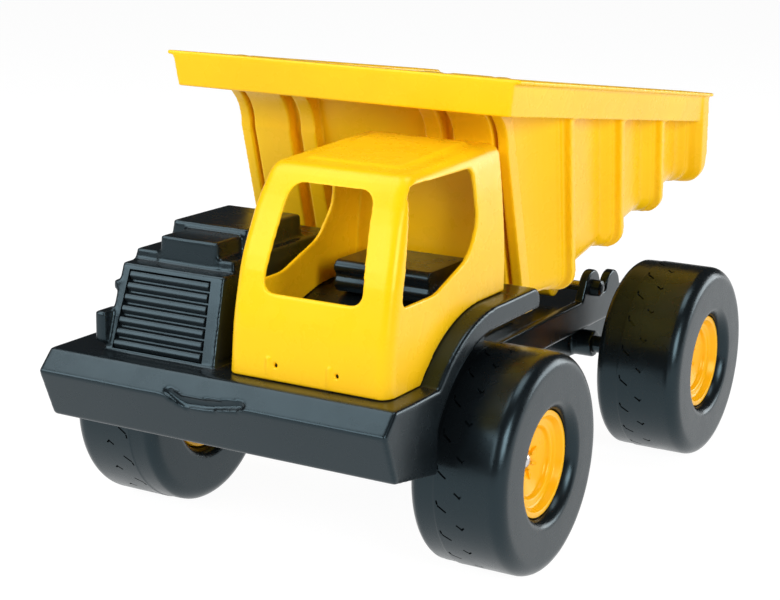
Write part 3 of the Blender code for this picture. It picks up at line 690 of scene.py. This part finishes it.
def side_ribs():
    made = []
    foot = BED_SIDE_X - 0.8
    slope = ((0.0, 0.0), (0.36, 0.2), (0.68, 0.55), (0.88, 0.85), (1.0, 1.0))
    for number, start in enumerate(CREST_STARTS):
        end = start + CREST_LENGTH
        stations = []
        if number:
            for share, rise in slope:
                stations.append((start - LAND - FILLET * (1 - share), foot + (LAND_X - foot) * rise))
        else:
            stations.append((start - LAND - 2.0, LAND_X))
        for share, rise in reversed(slope):
            stations.append((end + LAND + FILLET * (1 - share), foot + (LAND_X - foot) * rise))
        made.append(hoop(stations))
        made.append(hoop([(start, CREST_X), (end, CREST_X)]))
    tail = 268.0
    made.append(hoop([(tail - FILLET, foot), (tail - 4.0, foot + 2.4), (tail, LAND_X), (BED_REAR, LAND_X)]))
    flange = tail + 3.6
    stations = [(flange, LAND_X), (flange + 2.0, LAND_X + 6.0)]
    stations += [(flange + 5.0, FLANGE_X), (BED_REAR, FLANGE_X)]
    made.append(hoop(stations))
    return made


def gussets():
    """Upright ribs on the front wall whose tops sweep forward to carry the canopy."""
    made = []
    low = floor_z(BED_FRONT) + 4.0
    band_bottom = CANOPY_Z - RIM_HEIGHT + 2.0
    top = CANOPY_Z - 2.0
    sweep = 34.0
    reach = CANOPY_Y + 14.0
    face = BED_FRONT - 4.0
    back = WALL_FRONT + 3.0
    start_z = band_bottom - sweep
    start_y = lean(0, face, start_z)[1]
    curve = []
    for step in range(13):
        angle = math.radians(90 * step / 12)
        y = start_y - (start_y - reach) * (1 - math.cos(angle))
        z = start_z + sweep * math.sin(angle)
        curve.append((y, z))
    outline = [lean(0, back, low)[1:], lean(0, face, low)[1:]] + curve
    outline += [(reach, top), lean(0, back, top)[1:]]
    for centre, width in GUSSETS:
        for sign in (-1, 1):
            x0, x1 = sorted((sign * (centre - width / 2), sign * (centre + width / 2)))
            made.append(prism_x(outline, x0, x1))
    return made


def bed_underside():
    """Hinge lugs, and the runners that rest on the chassis spine."""
    made = []
    top = floor_z(PIVOT.y) + 4.0
    for sign in (-1, 1):
        inner, outer = sorted((sign * LUG_X[0], sign * LUG_X[1]))
        outline = [(PIVOT.y - LUG_RADIUS - 6, top)] + arc(PIVOT.y, PIVOT.z, LUG_RADIUS, 180, 360, 16)
        outline += [(PIVOT.y + LUG_RADIUS + 6, top)]
        made.append(prism_x(outline, inner, outer))
        x0, x1 = sorted((sign * 19.0, sign * 25.0))
        low = SPINE_TOP + 0.5
        made.append(prism_x([(0.0, low), (100.0, low), (100.0, 184.0), (0.0, 166.0)], x0, x1))
    return made


def bed():
    tail = [
        cylinder_x(PIVOT.y, PIVOT.z, 4.4, -LUG_X[1] - 1, LUG_X[1] + 1),
        box(-RIM_X - 10.0, RIM_X + 10.0, BED_TAIL_Y, BED_TAIL_Y + 60.0, 150.0, 350.0),
    ]
    steps = [
        ("DIFFERENCE", [rim_slab(BED_WALL, RIM_HEIGHT + 5.0, BED_WALL)]),
        ("UNION", [rim_lip(), hull()] + side_ribs() + gussets() + bed_underside()),
        ("DIFFERENCE", [hopper()]),
        ("DIFFERENCE", tail),
    ]
    moulded(
        "dump_bed_look",
        rim_slab(0.0, RIM_HEIGHT, 0.0),
        steps,
        1.1,
        5,
        YELLOW,
        "bed",
        ["dump_bed"],
    )


# Front body: bumper, deck, fenders and the hood with its grille


BODY_X = 133.0
RIDGE_Y = -268.0
RIDGE_Z = 131.5
BUMPER_TOP_Y = -255.0
DECK_Z = 145.0
BUMPER_BOTTOM_Y = -253.5
BUMPER_BOTTOM = 98.0
CHEEK_Y = -199.0
CHEEK_BOTTOM = 88.5
PLATFORM_Z = 183.0
BODY_REAR = -54.0
FENDER_Y = -118.0
FENDER_RADIUS = 107.0
ARCH_RADIUS = 91.5
WELL_X = 92.0
BODY_WALL = 3.5
RAIL_TOP = 106.0
AXLE_Z = middle("axle_front").z
HOOD_X = -55.0
HOOD_BASE_HALF = 45.0
HOOD_TOP_HALF = 41.0
HOOD_BASE_Y = -241.7
HOOD_TOP_Y = -222.7
HOOD_TOP = 202.0
HOOD_REAR = -100.0
HOOD_STEPS = (
    (-95.0, -15.0, -211.0, -82.0, 209.5),
    (-74.5, -27.5, -211.0, -180.0, 220.5),
    (-86.0, -23.5, -182.0, -115.0, 225.0),
)
HOOD_STEP_SKIRT = 2.5
HOOD_STEP_DRAFT = 0.8
# Small blocks on the right edge of the hood's front
HOOD_BLOCKS = (
    (-104.5, -96.0, -243.0, -224.0, 150.0, 171.5),
    (-101.0, -94.0, -227.0, -214.0, 183.5, 190.0),
)
LOUVRES = 8
LOUVRE_PITCH = 7.35
LOUVRE_TOP = 197.2
LOUVRE_DEPTH = 4.0


def body_outline():
    start = 180.0 - math.degrees(math.asin((DECK_Z - AXLE_Z) / FENDER_RADIUS))
    fender = arc(FENDER_Y, AXLE_Z, FENDER_RADIUS, start, 90, 20)
    rear = arc(BODY_REAR - 10, PLATFORM_Z - 10, 10, 90, 0, 6)
    return (
        [(BUMPER_BOTTOM_Y, BUMPER_BOTTOM), (RIDGE_Y, RIDGE_Z), (BUMPER_TOP_Y, DECK_Z)]
        + fender
        + rear
        + [(BODY_REAR, RAIL_TOP + 0.4), (CHEEK_Y + 8, RAIL_TOP + 0.4), (CHEEK_Y, CHEEK_BOTTOM)]
    )


def well_outline():
    """Opening over a front wheel: upright in front, round above, flat to the rear."""
    start = math.degrees(math.acos((CHEEK_Y - FENDER_Y) / ARCH_RADIUS))
    crown = arc(FENDER_Y, AXLE_Z, ARCH_RADIUS, start, 90, 20)
    behind = BODY_REAR + 5.0
    return [(CHEEK_Y, 50.0)] + crown + [(behind, AXLE_Z + ARCH_RADIUS), (behind, 50.0)]


def grille_plane(z):
    """Front plane of the hood at a height: its y and half-width."""
    share = (z - DECK_Z) / (HOOD_TOP - DECK_Z)
    y = HOOD_BASE_Y + share * (HOOD_TOP_Y - HOOD_BASE_Y)
    return y, HOOD_BASE_HALF + share * (HOOD_TOP_HALF - HOOD_BASE_HALF)


def grille_field():
    """The sunken field that the louvres stand in."""
    rings = []
    for z in (DECK_Z + 2.0, LOUVRE_TOP + 1.0):
        y, half = grille_plane(z)
        side = half - 7.0
        rings.append([(HOOD_X - side, y - 2.0, z), (HOOD_X + side - 3.0, y - 2.0, z)])
        rings[-1] += [(HOOD_X + side - 3.0, y + LOUVRE_DEPTH, z), (HOOD_X - side, y + LOUVRE_DEPTH, z)]
    return loft(rings)


def louvres():
    """Bars across the field: the upper half of each faces the light, the lower half tucks in below it."""
    lean_back = (HOOD_TOP_Y - HOOD_BASE_Y) / (HOOD_TOP - DECK_Z)
    section = ((LOUVRE_DEPTH + 1.0, 0.0), (0.7, -0.1), (0.0, -0.8), (-0.2, -3.0), (2.2, -5.9), (4.4, -6.5))
    for number in range(LOUVRES):
        top = LOUVRE_TOP - number * LOUVRE_PITCH
        y, half = grille_plane(top)
        profile = [(y + depth + lean_back * drop, top + drop) for depth, drop in section]
        mesh = prism_x(profile, HOOD_X - half + 8.0, HOOD_X + half - 11.4)
        bar = bpy.data.objects.new(f"louvre_{number + 1}_look", mesh)
        bpy.context.scene.collection.objects.link(bar)
        bevel = bar.modifiers.new("soft", "BEVEL")
        bevel.width = 0.5 * MM
        bevel.segments = 3
        settle(bar)
        even_shading(bar)
        dressed(bar, BLACK, "chassis", [])


def bumper_notch():
    """A shallow winged groove along the bumper's ridge."""
    outline = [
        (-33.5, 134.4),
        (-27.0, 135.6),
        (-18.0, 132.8),
        (6.0, 133.2),
        (28.0, 135.8),
        (31.3, 132.0),
        (3.0, 126.6),
        (-15.0, 125.4),
        (-21.0, 127.2),
    ]
    return prism_y(outline, RIDGE_Y - 6.0, RIDGE_Y + 5.0)


def front_body():
    hood = tapered(
        (HOOD_X - HOOD_BASE_HALF, HOOD_X + HOOD_BASE_HALF, HOOD_BASE_Y, HOOD_REAR, DECK_Z - 4),
        (HOOD_X - HOOD_TOP_HALF, HOOD_X + HOOD_TOP_HALF, HOOD_TOP_Y, HOOD_REAR, HOOD_TOP),
    )
    adds = [hood]
    skirt = HOOD_STEP_SKIRT
    draft = HOOD_STEP_DRAFT
    for x0, x1, y0, y1, top in HOOD_STEPS:
        bottom = (x0 - skirt, x1 + skirt, y0 - skirt, y1 + skirt, HOOD_TOP - 22.0)
        adds.append(tapered(bottom, (x0 + draft, x1 - draft, y0 + draft, y1, top)))
    adds += [box(*block) for block in HOOD_BLOCKS]
    wells = []
    for sign in (-1, 1):
        inner, outer = sorted((sign * WELL_X, sign * (BODY_X + 1)))
        wells.append(prism_x(well_outline(), inner, outer))
    wall = BODY_WALL
    below = 60.0
    well = WELL_X - wall
    side = BODY_X - wall
    under_top = DECK_Z - wall
    wells.append(box(-well, well, CHEEK_Y + 10, BODY_REAR - wall, below, under_top))
    wells.append(box(-side, side, BUMPER_TOP_Y + 8, CHEEK_Y - wall, below, BUMPER_BOTTOM + 38.0))
    wells.append(box(-well, well, -130.0, BODY_REAR - 15.5, under_top - 1, PLATFORM_Z - wall))
    wells.append(
        tapered(
            (HOOD_X - 39, HOOD_X + 39, HOOD_BASE_Y + 11, HOOD_REAR - 10.0, under_top - 2),
            (HOOD_X - 35, HOOD_X + 35, HOOD_TOP_Y + 11, HOOD_REAR - 10.0, HOOD_TOP - wall),
        )
    )
    wells.append(bumper_notch())
    steps = [("UNION", adds), ("DIFFERENCE", wells)]
    moulded(
        "front_body_look",
        prism_x(body_outline(), -BODY_X, BODY_X),
        steps,
        1.1,
        16,
        BLACK,
        "chassis",
        ["front_body"],
        [("DIFFERENCE", [grille_field()]), ("UNION", cab_tabs())],
    )


# Cab and seat


CAB_X = 60.0
CAB_STATIONS = (
    (140.0, -242.6, 59.4),
    (181.0, -240.0, 59.0),
    (219.0, -232.5, 58.2),
    (256.0, -218.5, 54.8),
    (274.0, -207.0, 51.8),
)
CAB_REAR = -83.5
CAB_TOP = 278.5
CAB_ROOF_RISE = 5.0
CAB_CORNER = 10.0
CAB_WALL = 3.0
WINDSHIELD = ((30.0, 268.0), (90.0, 268.0), (97.0, 200.0), (23.0, 200.0))
SIDE_WINDOW = (
    (-225.0, 200.0),
    (-206.0, 272.5),
    (-123.0, 272.5),
    (-121.0, 236.0),
    (-136.0, 216.0),
    (-181.0, 200.0),
)
CAB_SCREWS_X = (37.5, 82.5)
CAB_SCREW_Z = 155.5


def cab_station(z):
    """Front plane and half-width of the bowed cab at a height."""
    for (low, low_y, low_half), (high, high_y, high_half) in zip(CAB_STATIONS, CAB_STATIONS[1:]):
        if z <= high:
            break
    share = (z - low) / (high - low)
    return low_y + share * (high_y - low_y), low_half + share * (high_half - low_half)


def cab_curve(z):
    """The front plane and half-width with the bends between stations eased."""
    spots = [cab_station(z + offset) for offset in (-9.0, -4.5, 0.0, 4.5, 9.0)]
    return sum(spot[0] for spot in spots) / 5, sum(spot[1] for spot in spots) / 5


def cab_ring(z, inset, rise=0.0):
    """The cab's plan at a height, shrunk by an inset; with a rise it climbs towards the rear."""
    front, half = cab_curve(z)
    y0 = front + inset
    y1 = CAB_REAR - inset
    x0 = CAB_X - half + inset
    x1 = CAB_X + half - inset
    corner = max(3.0, CAB_CORNER - inset)
    blunt = rounded(((x0, y0), (x1, y0), (x1, y1), (x0, y1)), corner, 8)
    plan = [(x, y) for x, y in blunt if y < y1 - corner - 0.1] + [(x1, y1), (x0, y1)]
    return [(x, y, z + rise * (y - y0) / (y1 - y0)) for x, y in plan]


def cab_tabs():
    """Upright tabs of the front body that the cab's screws bite into."""
    tabs = []
    for x in CAB_SCREWS_X:
        y = cab_curve(CAB_SCREW_Z)[0] + CAB_WALL + 1.4
        tabs.append(box(x - 6.0, x + 6.0, y, y + 5.6, DECK_Z - 1.0, 165.0))
    return tabs


def cab():
    base = CAB_STATIONS[0][0]
    body_levels = [base + (268.0 - base) * step / 14 for step in range(15)]
    rings = [cab_ring(z, 0.0, CAB_ROOF_RISE * max(0.0, (z - 240.0) / 34.0) ** 2) for z in body_levels]
    crown = ((272.5, 0.2), (275.2, 0.9), (277.2, 2.3), (278.2, 4.2), (CAB_TOP, 7.0))
    rings += [cab_ring(z, inset, CAB_ROOF_RISE) for z, inset in crown]
    panel = [cab_ring(CAB_TOP - 1.0, 14.0, CAB_ROOF_RISE), cab_ring(CAB_TOP + 2.0, 17.0, CAB_ROOF_RISE)]
    inner = [cab_ring(base - 1.0, CAB_WALL)] + [cab_ring(z, CAB_WALL) for z in body_levels[1:]]
    inner.append(cab_ring(CAB_TOP - CAB_WALL - 0.6, CAB_WALL + 2.0, CAB_ROOF_RISE))
    cuts = [loft(inner)]
    glass = rounded(WINDSHIELD, 11.0, 8)
    cuts.append(prism_y(glass, cab_station(base)[0] - 10.0, cab_station(CAB_TOP)[0] + 20.0))
    left, right = CAB_X - 70.0, CAB_X + 70.0
    cuts.append(prism_x(rounded(SIDE_WINDOW, 8.0, 8), left, right))
    lowest = base - 5.0
    deck = [(BUMPER_TOP_Y, lowest), (BUMPER_TOP_Y, DECK_Z + 0.4)]
    deck += [(y, z + 0.4) for y, z in body_outline() if y > BUMPER_TOP_Y and z >= DECK_Z]
    deck += [(BODY_REAR, lowest)]
    cuts.append(prism_x(deck, left, right))
    front = cab_curve(CAB_SCREW_Z)[0]
    for x in CAB_SCREWS_X:
        cuts.append(cylinder((x, front, CAB_SCREW_Z), (0, 1, 0), 1.5, 12.0, 24))
    ribs = []
    for x in CAB_SCREWS_X:
        ribs.append(box(x - 6.6, x - 4.2, front - 0.9, front + 1.0, DECK_Z + 1.0, 160.0))
    steps = [("UNION", [loft(panel)] + ribs), ("DIFFERENCE", cuts)]
    moulded("cab_look", loft(rings), steps, 0.8, 9, YELLOW, "chassis", ["cab_shell"])


def seat():
    """A moulded bench with two rolls along its front edge."""
    low, high = span("bench_seat")
    y = low.y
    profile = [(high.y, low.z), (high.y, high.z), (y + 7.0, high.z)]
    profile += arc(y + 5.0, high.z - 5.0, 5.0, 90, 235, 8)
    profile += arc(y + 6.5, high.z - 15.5, 5.8, 140, 225, 8)
    profile += [(y + 3.4, low.z)]
    adds = [box(low.x + 12.0, high.x - 12.0, high.y - 9.0, high.y, high.z - 2.0, high.z)]
    base = prism_x(profile, low.x, high.x)
    steps = [("UNION", adds)]
    moulded("bench_seat_look", base, steps, 0.8, 5, BLACK, "chassis", ["bench_seat"])


# Chassis


RAIL_X = 53.0
RAIL_BOTTOM = 64.0
CHASSIS_WALL = 3.5
SPINE_X = 30.0
BOSS_RADIUS = 11.0
BOSS_X = 71.0
BOSS_HALF = 16.0
AXLE_BORE = 3.5
ROD_BORE = 4.3
EAR_X = (60.4, 68.0)
EAR_RADIUS = 15.0
HUMP_Y = 232.0
HUMP_RADIUS = 15.0
LEDGE_Y = (-40.0, 253.0)
LEDGE_RISE = 10.0
CROSS_BLOCK = 14.0
RIDGE_Y_RANGE = (-50.0, 158.0)
# How far below the rail's top each long ridge starts and ends
RIDGE_DEPTHS = ((7.0, 1.0), (17.0, 12.0))
# Bays in a row before, between and behind the axles
BAYS = (2, 6, 1)


def rail_side(sign):
    """One side's hinge ear, hump, outer ledge and the ridges along the rail."""
    inner, outer = sorted((sign * EAR_X[0], sign * EAR_X[1]))
    foot = RAIL_TOP - 2
    low = RAIL_TOP - CROSS_BLOCK
    crest = RAIL_TOP + LEDGE_RISE
    ear = [(PIVOT.y - 26.5, foot)] + arc(PIVOT.y, PIVOT.z, EAR_RADIUS, 165, 0, 20)
    ear += [(PIVOT.y + 20.5, foot)]
    hump = [(HUMP_Y - 21.0, foot)] + arc(HUMP_Y, crest, HUMP_RADIUS, 180, 0, 16)
    hump += [(HUMP_Y + 19.0, foot)]
    made = [prism_x(ear, inner, outer), box(inner, outer, *LEDGE_Y, low, crest)]
    near, far = sorted((sign * (RAIL_X - 3.0), sign * (EAR_X[0] + 3.6)))
    made.append(box(near, far, *LEDGE_Y, low, foot))
    made.append(prism_x(hump, inner, outer))
    near, far = sorted((sign * (RAIL_X - 2.0), sign * (RAIL_X + 3.0)))
    for deep, shallow in RIDGE_DEPTHS:
        made.append(box(near, far, *RIDGE_Y_RANGE, RAIL_TOP - deep, RAIL_TOP - shallow))
    return made


def chassis_bays(front, rear, axles):
    """Two rows of bays, open below, between cross walls and round the axle bosses."""
    cuts = []
    wall = CHASSIS_WALL
    ahead, behind = axles[0].y, axles[1].y
    starts = (front, ahead + BOSS_HALF, behind + BOSS_HALF)
    ends = (ahead - BOSS_HALF, behind - BOSS_HALF, rear)
    for start, end, count in zip(starts, ends, BAYS):
        pitch = (end - start) / count
        for number in range(count):
            y0 = start + pitch * number + wall / 2
            y1 = y0 + pitch - wall
            for x0, x1 in ((-RAIL_X + wall, -wall / 2), (wall / 2, RAIL_X - wall)):
                cuts.append(box(x0, x1, y0, y1, RAIL_BOTTOM - 1, RAIL_TOP - wall))
    return cuts


def chassis():
    """A ladder of bays with a spine on top, axle bosses across it and hinge ears at the rear."""
    low, high = span("chassis")
    front, rear = low.y, high.y
    axles = (middle("axle_front"), middle("axle_rear"))
    adds = [box(-SPINE_X, SPINE_X, -20.0, 120.0, RAIL_TOP - 2, SPINE_TOP)]
    for axle in axles:
        adds.append(cylinder_x(axle.y, axle.z, BOSS_RADIUS, -BOSS_X, BOSS_X))
    adds.append(box(-EAR_X[1], EAR_X[1], 158.0, 254.0, RAIL_TOP - CROSS_BLOCK, RAIL_TOP))
    adds += rail_side(-1) + rail_side(1)
    cuts = chassis_bays(front, rear, axles)
    under = RAIL_BOTTOM - 5.0
    nose = [(front - 1.0, under), (-130.0, under), (-130.0, RAIL_BOTTOM), (front - 1.0, 84.0)]
    cuts.append(prism_x(nose, -RAIL_X - 5.0, RAIL_X + 5.0))
    for axle in axles:
        cuts.append(cylinder_x(axle.y, axle.z, AXLE_BORE, -BOSS_X - 1, BOSS_X + 1))
    cuts.append(cylinder_x(PIVOT.y, PIVOT.z, ROD_BORE, -EAR_X[1] - 1, EAR_X[1] + 1))
    base = box(-RAIL_X, RAIL_X, front, rear, RAIL_BOTTOM, RAIL_TOP)
    steps = [("UNION", adds), ("DIFFERENCE", cuts)]
    moulded("chassis_look", base, steps, 1.2, 5, FRAME_BLACK, "chassis", ["chassis"])


def carried_over():
    """Rods, spacers, screws and hinge caps keep their CAD shape and get a finish."""
    for name, node in frame["nodes"].items():
        if node.hide_render:
            continue
        finish = FRAME_BLACK if name.startswith(("spacer", "hinge_cap", "cab_screw")) else STEEL
        node.data.materials.clear()
        node.data.materials.append(finish)


bed()
front_body()
louvres()
cab()
seat()
chassis()
carried_over()


# Camera, floor and light


def camera():
    """Three-quarter view from the front left."""
    yaw, pitch, roll = (math.radians(angle) for angle in (29.43, 13.95, 1.15))
    ahead = Vector((-math.sin(yaw) * math.cos(pitch), math.cos(yaw) * math.cos(pitch), -math.sin(pitch)))
    level = Vector((math.cos(yaw), math.sin(yaw), 0.0))
    upright = level.cross(ahead)
    right = math.cos(roll) * level + math.sin(roll) * upright
    up = -math.sin(roll) * level + math.cos(roll) * upright
    turn = Matrix((right, up, -ahead)).transposed().to_4x4()
    data = bpy.data.cameras.new("camera")
    data.lens = 84.53
    data.sensor_width = 36.0
    data.clip_end = 200.0
    made = bpy.data.objects.new("camera", data)
    turn.translation = Vector((0.6434, -1.1703, 0.4745))
    made.matrix_world = turn
    bpy.context.scene.collection.objects.link(made)
    bpy.context.scene.camera = made


def floor():
    """A wide white floor that glows, so that it stays white and shows almost no shadow."""
    made = bpy.data.meshes.new("floor")
    shape = bmesh.new()
    bmesh.ops.create_grid(shape, x_segments=1, y_segments=1, size=40.0)
    shape.to_mesh(made)
    shape.free()
    plane = bpy.data.objects.new("floor", made)
    bpy.context.scene.collection.objects.link(plane)
    white, nodes = new_material("white_floor")[:2]
    shader = nodes["Principled BSDF"]
    shader.inputs["Base Color"].default_value = (0.12, 0.12, 0.12, 1.0)
    shader.inputs["Roughness"].default_value = 0.9
    shader.inputs["Specular IOR Level"].default_value = 0.0
    shader.inputs["Emission Color"].default_value = (1.0, 1.0, 1.0, 1.0)
    shader.inputs["Emission Strength"].default_value = 0.96
    made.materials.append(white)


def world():
    """White where the camera looks past the floor, and near-black in reflections."""
    made = bpy.data.worlds.new("studio")
    bpy.context.scene.world = made
    made.use_nodes = True
    nodes = made.node_tree.nodes
    links = made.node_tree.links
    seen = nodes.new("ShaderNodeBackground")
    seen.inputs["Color"].default_value = (1.0, 1.0, 1.0, 1.0)
    nodes["Background"].inputs["Color"].default_value = (0.03, 0.033, 0.036, 1.0)
    pick = nodes.new("ShaderNodeMixShader")
    links.new(nodes.new("ShaderNodeLightPath").outputs["Is Camera Ray"], pick.inputs["Fac"])
    links.new(nodes["Background"].outputs["Background"], pick.inputs[1])
    links.new(seen.outputs["Background"], pick.inputs[2])
    links.new(pick.outputs["Shader"], nodes["World Output"].inputs["Surface"])


def soft_light(name, place, target, size, power):
    data = bpy.data.lights.new(name, "AREA")
    data.shape = "RECTANGLE"
    data.size, data.size_y = size
    data.energy = power
    made = bpy.data.objects.new(name, data)
    made.location = place
    made.rotation_mode = "QUATERNION"
    made.rotation_quaternion = (Vector(target) - Vector(place)).to_track_quat("-Z", "Y")
    bpy.context.scene.collection.objects.link(made)


def light():
    aim = (0.0, 0.0, 0.15)
    soft_light("front_panel", (-1.4, -2.4, 1.35), (0.0, -0.1, 0.3), (2.6, 1.3), 48.0)
    soft_light("high_panel", (-1.1, -0.7, 2.1), (0.0, -0.1, 0.2), (1.5, 1.5), 24.0)
    soft_light("side_panel", (2.2, -1.5, 1.2), aim, (1.2, 1.2), 46.0)
    soft_light("far_panel", (1.7, 2.3, 0.55), aim, (1.8, 0.9), 26.0)
    soft_light("top_panel", (0.4, 0.1, 2.2), aim, (1.0, 1.0), 12.0)


camera()
floor()
world()
light()
bpy.context.scene.view_settings.view_transform = "Standard"
